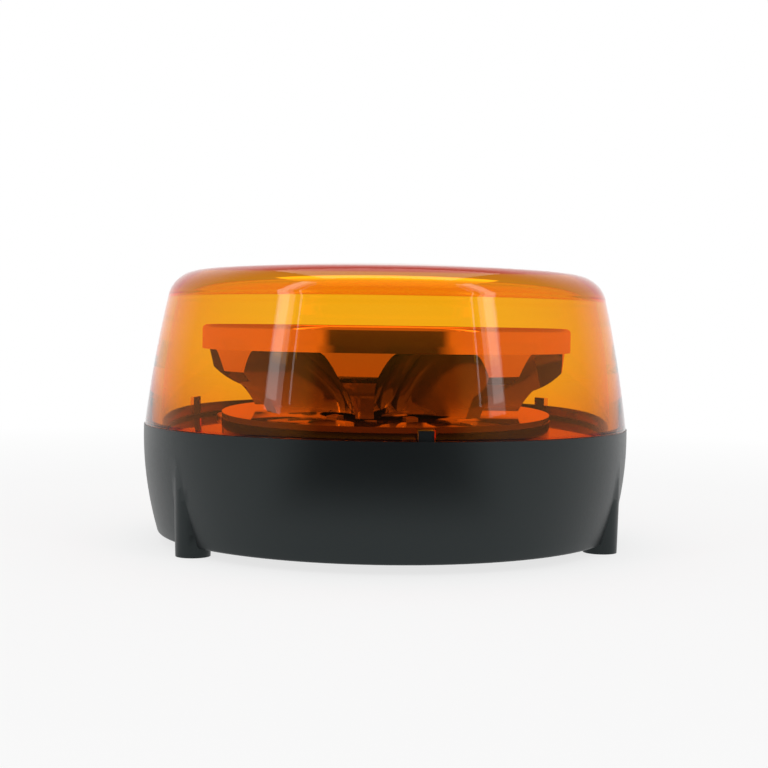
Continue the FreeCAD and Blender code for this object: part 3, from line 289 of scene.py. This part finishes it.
SLOT_LOOK = {
    "base_plastic": BASE_BLACK, "amber_lens": LENS_AMBER, "seal_rubber": RUBBER, "deck_plastic": DECK_BLACK,
    "zinc_steel": ZINC, "spreader_aluminium": ALUMINIUM, "white_board": LAMP_BOARD_PAINTED_SHADE, "lamp_package": PHOSPHOR,
    "sinter_bronze": BRONZE, "bracket_steel": BRACKET, "motor_steel": MOTOR, "green_board": GREEN_BOARD,
    "capacitor_sleeve": SLEEVE, "regulator_epoxy": EPOXY, "terminal_plastic": TERMINAL, "insert_brass": BRASS,
    "vent_plastic": VENT, "mirror_chrome": CHROME, "shaft_steel": SHAFT, "spring_steel": SPRING,
    "washer_plastic": WASHER, "gear_plastic": ACETAL}
SLOT_OF = {s["node"]: s["material_slot"] for s in frame["record"]["subparts"]}
BODY_OF = {n: body for body, members in frame["record"]["behaviour"]["bodies"].items() for n in members}
for name, obj in NODES.items():
    look = SLOT_LOOK[SLOT_OF[name]]
    if not obj.material_slots:
        obj.data.materials.append(look)
    for s in obj.material_slots:
        s.material = look
print("dressed", len(NODES), "nodes")

# %% [markdown]
# A machined model arrives as loose triangles. On the housing, the deck and the
# screw in the middle of the reflector they would show as facets in the gloss,
# so a copy is welded and shaded smooth up to its real edges, and stands in for
# the node. The screw is also lowered, into the recess that the reflector gets.

# %% Welded copies
def welded(node, name, edge_angle=28.0, sink=None):
    """sink = (radius, height, drop) lowers what lies inside radius and above height."""
    mesh = NODES[node].data.copy()
    b = bmesh.new()
    b.from_mesh(mesh)
    bmesh.ops.remove_doubles(b, verts=b.verts, dist=0.000002)
    if sink:
        for v in b.verts:
            if math.hypot(v.co.x, v.co.y) < sink[0] and v.co.z > sink[1]:
                v.co.z -= sink[2]
    bmesh.ops.dissolve_degenerate(b, edges=b.edges, dist=0.000001)
    for face in b.faces:
        face.smooth = True
    limit = math.radians(edge_angle)
    for edge in b.edges:
        edge.smooth = len(edge.link_faces) == 2 and edge.calc_face_angle(0.0) < limit
    b.to_mesh(mesh)
    b.free()
    obj = bpy.data.objects.new(name, mesh)
    scene.collection.objects.link(obj)
    mesh.materials.clear()
    mesh.materials.append(SLOT_LOOK[SLOT_OF[node]])
    for polygon in mesh.polygons:
        polygon.material_index = 0
    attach(obj, BODY_OF[node])
    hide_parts(node)
    print(name, len(mesh.polygons), "faces")
    return obj


SCREW_REACH, SCREW_DROP = 0.0096, 0.0022
welded("base_housing", "housing_shell")
welded("deck_plate", "deck_moulding")
welded("cap_screw", "cap_screw_turned", sink=(SCREW_REACH, 0.0, SCREW_DROP))

# %% [markdown]
# Several things stand in a ring about the axis: the key notches, the bowls of
# the reflector, the lamps and the deck screws. One Geometry Nodes tree makes them
# all. It puts Count points on the axis, turns each by its share of a full turn
# from Start, and places one copy of Part there, which already lies at its own
# radius and height.

# %% Ring of parts
def ring_tree():
    tree = bpy.data.node_groups.new("ring_of_parts", "GeometryNodeTree")
    add = tree.nodes.new
    for name, kind in (("Part", "NodeSocketObject"), ("Count", "NodeSocketInt"), ("Start", "NodeSocketFloat"),
                       ("Material", "NodeSocketMaterial")):
        tree.interface.new_socket(name, in_out="INPUT", socket_type=kind)
    tree.interface.new_socket("Geometry", in_out="OUTPUT", socket_type="NodeSocketGeometry")
    given, result = add("NodeGroupInput"), add("NodeGroupOutput")

    def maths(operation, a, b):
        n = add("ShaderNodeMath")
        n.operation = operation
        for socket, value in zip(n.inputs, (a, b)):
            if isinstance(value, float):
                socket.default_value = value
            else:
                tree.links.new(value, socket)
        return n.outputs[0]

    index = add("GeometryNodeInputIndex").outputs[0]
    step = maths("DIVIDE", 2 * math.pi, given.outputs["Count"])
    angle = maths("ADD", maths("MULTIPLY", index, step), given.outputs["Start"])
    turn, rotation = add("ShaderNodeCombineXYZ"), add("FunctionNodeEulerToRotation")
    tree.links.new(angle, turn.inputs["Z"])
    tree.links.new(turn.outputs[0], rotation.inputs[0])
    points, part = add("GeometryNodePoints"), add("GeometryNodeObjectInfo")
    tree.links.new(given.outputs["Count"], points.inputs["Count"])
    tree.links.new(given.outputs["Part"], part.inputs["Object"])
    copies, real, painted = [add("GeometryNode" + kind) for kind in (
        "InstanceOnPoints", "RealizeInstances", "SetMaterial")]
    tree.links.new(points.outputs[0], copies.inputs["Points"])
    tree.links.new(part.outputs["Geometry"], copies.inputs["Instance"])
    tree.links.new(rotation.outputs[0], copies.inputs["Rotation"])
    tree.links.new(copies.outputs[0], real.inputs[0])
    tree.links.new(real.outputs[0], painted.inputs["Geometry"])
    tree.links.new(given.outputs["Material"], painted.inputs["Material"])
    tree.links.new(painted.outputs[0], result.inputs[0])
    return tree


RING = ring_tree()


def as_object(name, b):
    """An object from a bmesh, with its normals facing outward."""
    bmesh.ops.recalc_face_normals(b, faces=b.faces)
    mesh = bpy.data.meshes.new(name)
    b.to_mesh(mesh)
    b.free()
    obj = bpy.data.objects.new(name, mesh)
    scene.collection.objects.link(obj)
    return obj


def ring_of(name, part, count, start, material):
    """count copies of part about the axis, as one plain mesh; part is used up."""
    host = bpy.data.objects.new(name, bpy.data.meshes.new(name))
    scene.collection.objects.link(host)
    nodes = host.modifiers.new("ring", "NODES")
    nodes.node_group = RING
    values = {"Part": part, "Count": count, "Start": math.radians(start), "Material": material}
    for item in RING.interface.items_tree:
        if item.in_out == "INPUT":
            nodes[item.identifier] = values[item.name]
    bpy.context.view_layer.update()
    mesh = bpy.data.meshes.new_from_object(host.evaluated_get(bpy.context.evaluated_depsgraph_get()))
    host.modifiers.clear()
    host.data = mesh
    bpy.data.objects.remove(part)
    print(name, count, "copies,", len(mesh.polygons), "faces")
    return host


# %% [markdown]
# The lens bends light, so its faces must be truly smooth. Its section is drawn
# from the same sizes as the model, turned in fine steps, and the three notches
# for the keys are cut out of the foot.

# %% Lens
def arc_points(a, m, b, count):
    """Points from a to b on the circle through a, m and b."""
    (ax, ay), (mx, my), (bx, by) = a, m, b
    d = 2 * (ax * (my - by) + mx * (by - ay) + bx * (ay - my))
    sa, sm, sb = ax * ax + ay * ay, mx * mx + my * my, bx * bx + by * by
    cx = (sa * (my - by) + sm * (by - ay) + sb * (ay - my)) / d
    cy = (sa * (bx - mx) + sm * (ax - bx) + sb * (mx - ax)) / d
    r = math.hypot(ax - cx, ay - cy)
    t0, t1 = math.atan2(ay - cy, ax - cx), math.atan2(by - cy, bx - cx)
    if abs(t1 - t0) > math.pi:
        t1 -= math.copysign(2 * math.pi, t1 - t0)
    return [(cx + r * math.cos(t0 + (t1 - t0) * k / count), cy + r * math.sin(t0 + (t1 - t0) * k / count))
            for k in range(count + 1)]


def rounded_corner(points_in, points_out, radius, steps=36):
    """Joins two point runs that meet at a corner with a round of the given radius."""
    corner = Vector(points_in[-1])
    u = (Vector(points_in[-2]) - corner).normalized()
    v = (Vector(points_out[1]) - corner).normalized()
    half = math.acos(max(-1, min(1, u.dot(v)))) / 2
    cut = radius / math.tan(half)
    centre = corner + (u + v).normalized() * (radius / math.sin(half))
    a, b = corner + u * cut, corner + v * cut
    keep_in = [p for p in points_in if (Vector(p) - corner).length > cut * 1.04]
    keep_out = [p for p in points_out if (Vector(p) - corner).length > cut * 1.04]
    mid = centre + (corner - centre).normalized() * radius
    return keep_in + arc_points(tuple(a), tuple(mid), tuple(b), steps) + keep_out


MM = 0.001
LENS = {"foot": 70.2, "mid": 68.0, "mid_up": 15.8, "corner": 62.3, "corner_up": 43.3, "top_up": 46.7,
        "round": 9.0, "wall_foot": 4.3, "wall_top": 2.3, "ceiling": 3.0}
WALL_STEPS, DOME_STEPS, LENS_TURNS = 40, 24, 320
KEY_COUNT, FIRST_KEY = 3, 30.0
NOTCH_CENTRE, NOTCH_SIZE = (0.0677, 0, 0.0330), (0.009, 0.0045, 0.0069)


def dome_points(radius, corner_up, top_up, count):
    """Arc from the corner to the axis, centred on the axis."""
    drop = top_up - corner_up
    big = (radius * radius + drop * drop) / (2 * drop)
    full = math.asin(radius / big)
    return [(big * math.sin(full * (1 - k / count)), top_up - big + big * math.cos(full * (1 - k / count)))
            for k in range(count + 1)]


def lens_section(at_foot, at_mid, at_top, ceiling):
    """One face of the lens, set in from the outer sizes by the given amounts."""
    corner = (LENS["corner"] - at_top, LENS["corner_up"] - ceiling)
    wall = arc_points((LENS["foot"] - at_foot, 0), (LENS["mid"] - at_mid, LENS["mid_up"]), corner, WALL_STEPS)
    return rounded_corner(wall, dome_points(*corner, LENS["top_up"] - ceiling, DOME_STEPS), LENS["round"] - at_top)


outer = lens_section(0, 0, 0, 0)
inner = lens_section(LENS["wall_foot"], (LENS["wall_foot"] + LENS["wall_top"]) / 2, LENS["wall_top"],
                     LENS["ceiling"])
spigot = [(65.9, -3.2), (68.0, -3.2), (68.0, 0.0)]


def turned(name, loop, turns):
    """Closed section turned about Z; points on the axis become one vertex."""
    b = bmesh.new()
    rings = []
    for r, z in loop:
        if r < 1e-6:
            rings.append([b.verts.new((0, 0, z * MM))])
        else:
            rings.append([b.verts.new((r * MM * math.cos(2 * math.pi * k / turns),
                                       r * MM * math.sin(2 * math.pi * k / turns), z * MM)) for k in range(turns)])
    for i in range(len(rings)):
        p, q = rings[i], rings[(i + 1) % len(rings)]
        if len(p) == 1 and len(q) == 1:
            continue
        for k in range(turns):
            j = (k + 1) % turns
            corners = ([p[0]] if len(p) == 1 else [p[k], p[j]]) + ([q[0]] if len(q) == 1 else [q[j], q[k]])
            b.faces.new(corners)
    return as_object(name, b)


def lifted(points):
    """Heights above the seam become heights above the feet."""
    return [(r, z + SEAM / MM) for r, z in points]


def carve(obj, tool):
    """Cuts the object tool out of obj and keeps the result as obj's mesh."""
    cut = obj.modifiers.new("cut", "BOOLEAN")
    cut.operation, cut.object, cut.solver = "DIFFERENCE", tool, "EXACT"
    bpy.context.view_layer.update()
    result = bpy.data.meshes.new_from_object(obj.evaluated_get(bpy.context.evaluated_depsgraph_get()))
    obj.modifiers.clear()
    obj.data = result
    bpy.data.objects.remove(tool)


def polish(obj, node, edge_angle):
    """Smooth shading up to the edge angle, the node's look, and its place in the frame."""
    mesh = obj.data
    for polygon in mesh.polygons:
        polygon.use_smooth = True
    mesh.set_sharp_from_angle(angle=math.radians(edge_angle))
    mesh.materials.clear()
    mesh.materials.append(SLOT_LOOK[SLOT_OF[node]])
    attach(obj, BODY_OF[node])
    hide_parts(node)
    print(obj.name, len(mesh.polygons), "faces, size", [round(c, 4) for c in obj.dimensions])


lens = turned("lens_moulding", lifted(spigot + outer + list(reversed(inner))), LENS_TURNS)
notch = bmesh.new()
bmesh.ops.create_cube(notch, size=1.0, matrix=Matrix.Translation(NOTCH_CENTRE) @ Matrix.Diagonal((*NOTCH_SIZE, 1.0)))
carve(lens, ring_of("key_notches", as_object("key_notch", notch), KEY_COUNT, FIRST_KEY, LENS_AMBER))
polish(lens, "lens", 35)

# %% [markdown]
# The reflector crown is a turned form with eight bowls cut into its side. Each
# bowl starts as a paraboloid with its focus on one lamp and its axis pointing
# outward. It is drawn taller than it is wide, so the bowls run right up to the
# underside of the rim and leave slim pillars that fan out into it.

# %% Reflector crown
RIM_UNDER, FOOT, LAMP_RING, LAMP_HEIGHT = 54.5, 36.0, 27.5, 35.4
FOCUS, TALLER = 3.15, 1.30
LAMP_COUNT, FIRST_LAMP, CROWN_TURNS = 8, 6.1, 360
section = [(2.5, FOOT), (6.5, FOOT), (6.5, 56.8), (19.5, 56.8), (19.5, FOOT)]
section += arc_points((39.4, FOOT), (41.1, 39.25), (43.6, 42.5), 8)
section += arc_points((43.6, 42.5), (48.05, 44.9), (51.7, 48.3), 10)[1:]
section += [(52.4, RIM_UNDER), (54.0, RIM_UNDER)] + arc_points((54.0, 60.4), (53.59, 61.39), (52.6, 61.8), 8)
section += [(47.0, 61.8), (45.8, 60.6), (10.2, 60.6), (9.0, 59.6), (2.5, 59.6)]
crown = turned("reflector_shell", section, CROWN_TURNS)


def bowl(rings=44, around=72, reach=60.0):
    """A closed paraboloid bowl along +X, flat under the rim."""
    b = bmesh.new()
    tip = LAMP_RING - FOCUS
    rows = []
    for i in range(1, rings + 1):
        along = (reach - tip) * (i / rings) ** 2
        wide = math.sqrt(4 * FOCUS * along)
        row = []
        for j in range(around):
            t = 2 * math.pi * j / around
            up = min(LAMP_HEIGHT + wide * TALLER * math.sin(t), RIM_UNDER - 0.05)
            row.append(b.verts.new(((tip + along) * MM, wide * math.cos(t) * MM, up * MM)))
        rows.append(row)
    point = b.verts.new((tip * MM, 0, LAMP_HEIGHT * MM))
    for j in range(around):
        k = (j + 1) % around
        b.faces.new((point, rows[0][j], rows[0][k]))
        for low, high in zip(rows, rows[1:]):
            b.faces.new((low[j], high[j], high[k], low[k]))
    b.faces.new(rows[-1])
    return as_object("bowl", b)


carve(crown, ring_of("bowls", bowl(), LAMP_COUNT, FIRST_LAMP, CHROME))
polish(crown, "reflector_crown", 30)

# %% [markdown]
# Each lamp is a square white package with a bevelled edge and a low yellow
# dome of phosphor. The package stands on the board, at the focus of its bowl.

# %% Lamps
PACKAGE, PACKAGE_BASE, DOME_RADIUS, DOME_RISE = 3.5, 34.8, 1.35, 0.3


def lamp_package():
    b = bmesh.new()
    height = LAMP_HEIGHT - PACKAGE_BASE
    bmesh.ops.create_cube(b, size=1.0, matrix=Matrix.Translation(
        (LAMP_RING * MM, 0, (PACKAGE_BASE + height / 2) * MM)) @ Matrix.Diagonal(
        (PACKAGE * MM, PACKAGE * MM, height * MM, 1.0)))
    bmesh.ops.bevel(b, geom=b.edges[:], offset=0.08 * MM, segments=2, affect="EDGES", profile=0.5)
    return as_object("lamp_package", b)


def phosphor_dome(rings=6, around=24):
    b = bmesh.new()
    rows = []
    for i in range(rings):
        a = math.pi / 2 * i / rings
        rows.append([b.verts.new(((LAMP_RING + DOME_RADIUS * math.cos(a) * math.cos(t)) * MM,
                                  DOME_RADIUS * math.cos(a) * math.sin(t) * MM,
                                  (LAMP_HEIGHT + DOME_RISE * math.sin(a)) * MM))
                     for t in (2 * math.pi * j / around for j in range(around))])
    top = b.verts.new((LAMP_RING * MM, 0, (LAMP_HEIGHT + DOME_RISE) * MM))
    for j in range(around):
        k = (j + 1) % around
        for low, high in zip(rows, rows[1:]):
            b.faces.new((low[j], low[k], high[k], high[j]))
        b.faces.new((rows[-1][j], rows[-1][k], top))
    b.faces.new(list(reversed(rows[0])))
    return as_object("phosphor_dome", b)


PACKAGE_WHITE = coated("lamp_ceramic_look", (0.78, 0.77, 0.73), 0.45, 900.0, 0.05, 0.05)
lamps = ring_of("lamp_packages", lamp_package(), LAMP_COUNT, FIRST_LAMP, PACKAGE_WHITE)
domes = ring_of("lamp_domes", phosphor_dome(), LAMP_COUNT, FIRST_LAMP, PHOSPHOR)
for piece in (lamps, domes):
    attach(piece, "housing")
    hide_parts("led_packages")
for polygon in domes.data.polygons:
    polygon.use_smooth = True
domes.data.set_sharp_from_angle(angle=math.radians(50))

# %% [markdown]
# The three screws that hold the deck can be seen through the lens. They have a
# low rounded head with a cross recess. Their shanks are hidden in the posts.

# %% Deck screws
screw_low, screw_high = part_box("deck_screws")
HEAD_RADIUS, HEAD_RISE, SHANK_RADIUS, POST_CIRCLE = 2.8, 1.9, 1.28, 55.0
SCREW_COUNT, FIRST_SCREW = 3, 30.0
head_base = screw_high.z / MM - HEAD_RISE


def deck_screw(around=40):
    """Pan head and shank about Z, with a cross recess, at its own radius."""
    edge = [(SHANK_RADIUS, screw_low.z / MM), (SHANK_RADIUS, head_base), (HEAD_RADIUS, head_base)]
    edge += arc_points((HEAD_RADIUS, head_base + 0.7), (2.35, head_base + 1.55),
                       (1.2, head_base + HEAD_RISE - 0.02), 8)
    screw = turned("deck_screw", [(0, screw_low.z / MM)] + edge + [(0, head_base + HEAD_RISE - 0.01)], around)
    for turn in (0, 90):
        slot = bmesh.new()
        bmesh.ops.create_cube(slot, size=1.0, matrix=Matrix.Rotation(math.radians(turn), 4, "Z") @ Matrix.Translation(
            (0, 0, (head_base + HEAD_RISE) * MM)) @ Matrix.Diagonal((2.6 * MM, 0.55 * MM, 1.9 * MM, 1.0)))
        carve(screw, as_object("recess_bar", slot))
    screw.data.transform(Matrix.Translation((POST_CIRCLE * MM, 0, 0)))
    return screw


deck_screws = ring_of("deck_screw_set", deck_screw(), SCREW_COUNT, FIRST_SCREW, ZINC)
polish(deck_screws, "deck_screws", 35)

# %% [markdown]
# The studio is plain: a pale floor that runs out of sight, a white surround,
# and two tall soft boxes, one on each side of the camera. Behind the camera the
# room is dim, as a real studio is, so the front of the gloss stays dark between
# the boxes, and that dark gap is what draws the shape of the lens and of the
# chrome. The floor shows white but still takes a soft shadow. These levels are
# chosen for the main camera, and stay where they are when the view turns.

# %% Studio
def gloss_count(f):
    return Wire(f, f.node("ShaderNodeLightPath").owner.outputs["Glossy Depth"])


def seen_directly(f):
    """1 for what the camera sees bare or through the lens, 0 for reflections."""
    path = f.node("ShaderNodeLightPath").owner.outputs
    camera_ray, through = Wire(f, path["Is Camera Ray"]), Wire(f, path["Is Transmission Ray"])
    mirrored = Wire(f, path["Glossy Depth"]).above(0.5)
    return camera_ray.highest(through * (1 - mirrored)), Wire(f, path["Is Glossy Ray"]) * (1 - through)


def floor_look():
    f = Finish("studio_floor")
    direct, outside = seen_directly(f)
    x, y, _z = f.axes(f.place())
    out = (x * x + y * y) ** 0.5
    # Painted shade: reflections and bounced light see the floor dimmer near the object and nearly black on the
    # camera's side beyond 9 cm, standing in for the dim room; seen straight it stays white.
    in_front = ((x * math.cos(AXIS_FACING) + y * math.sin(AXIS_FACING)) / (out + 0.001) * 8 - 6).clamped()
    far = ((out - 0.20) / 0.30).clamped()
    gap = in_front * ((out - 0.09) / 0.06).clamped()
    level = f.blend(gap * outside.highest(far), f.blend(far, (0.75,) * 3, (0.97,) * 3), (0.06,) * 3)
    white = f.node("ShaderNodeEmission", None, {"Color": f.blend(direct, level, (1.0,) * 3), "Strength": 1.0})
    matt = f.node("ShaderNodeBsdfDiffuse", None, {"Color": f.blend(
        gap * (1 - direct), (0.86, 0.86, 0.86), (0.05, 0.05, 0.05))})
    return f.done(f.node("ShaderNodeMixShader", None, {0: far * 0.25 + 0.75, 1: matt, 2: white}))


def flat_card(name, width, depth, height, material):
    mesh = bpy.data.meshes.new(name)
    mesh.from_pydata([(sx * width / 2, sy * depth / 2, height) for sx, sy in ((-1, -1), (1, -1), (1, 1), (-1, 1))],
                     [], [(0, 1, 2, 3)])
    mesh.materials.append(material)
    obj = bpy.data.objects.new(name, mesh)
    scene.collection.objects.link(obj)
    return obj


FLOOR_SIZE, FLOOR_HEIGHT = 24.0, -0.0001
flat_card("studio_floor", FLOOR_SIZE, FLOOR_SIZE, FLOOR_HEIGHT, floor_look())


def soft_box(name, turn, distance, width, height, centre_height, brightness):
    """Area light at an angle from the camera's direction, of the given radiance."""
    a = AXIS_FACING + math.radians(turn)
    data = bpy.data.lights.new(name, "AREA")
    data.shape, data.size, data.size_y = "RECTANGLE", width, height
    data.energy = brightness * math.pi * width * height
    lamp = bpy.data.objects.new(name, data)
    lamp.location = (distance * math.cos(a), distance * math.sin(a), centre_height)
    lamp.rotation_euler = (Vector((0, 0, 0.05)) - Vector(lamp.location)).to_track_quat("-Z", "Y").to_euler()
    scene.collection.objects.link(lamp)
    return lamp


for side, turn in (("left", -52.3), ("right", 51.5)):
    soft_box("soft_box_" + side, turn, 1.2, 0.22, 1.1, 0.77, 1.1)
    soft_box("soft_core_" + side, turn * 1.02, 1.19, 0.13, 1.0, 0.76, 1.5)
    soft_box("soft_strip_" + side, turn * 0.84, 1.2, 0.022, 0.9, 0.72, 1.5)
soft_box("soft_box_top", 180.0, 0.15, 1.1, 1.1, 1.3, 1.2)


def surround():
    """White where it is seen straight or through the lens; in reflections the
    side behind the camera is dim."""
    f = Finish("white_surround", world=True)
    direct, glossy = seen_directly(f)
    way = f.node("ShaderNodeTexCoord", output="Generated")
    x, y, z = f.axes(way)
    facing = (x * math.cos(AXIS_FACING) + y * math.sin(AXIS_FACING)) / ((x * x + y * y) ** 0.5 + 0.001)
    turn = facing * 0.5 + 0.5
    on_outside = f.ramp(turn, [(0.0, (0.98,) * 3), (0.05, (0.95,) * 3), (0.17, (0.60,) * 3), (0.33, (0.22,) * 3),
                               (0.78, (0.16,) * 3), (0.90, (0.05,) * 3), (0.93, (0.02,) * 3)])
    overhead = ((z - 0.60) * 4.0).clamped()
    on_outside = f.blend(overhead, on_outside, (0.15, 0.15, 0.15))
    inside = f.ramp(turn, [(0.0, (0.98,) * 3), (0.60, (0.95,) * 3), (0.89, (0.90,) * 3), (0.92, (0.08,) * 3)])
    level_with_eye = (z * z * 12.0).clamped()
    inside = f.blend(level_with_eye, inside, (0.60, 0.60, 0.60))
    first_gloss = glossy * (1 - gloss_count(f).above(1.5))
    colour = f.blend(direct, f.blend(first_gloss, inside, on_outside), (1.0, 1.0, 1.0))
    return f.done(f.node("ShaderNodeBackground", None, {"Color": colour, "Strength": 1.0}))


scene.world = surround()
print("studio ready")
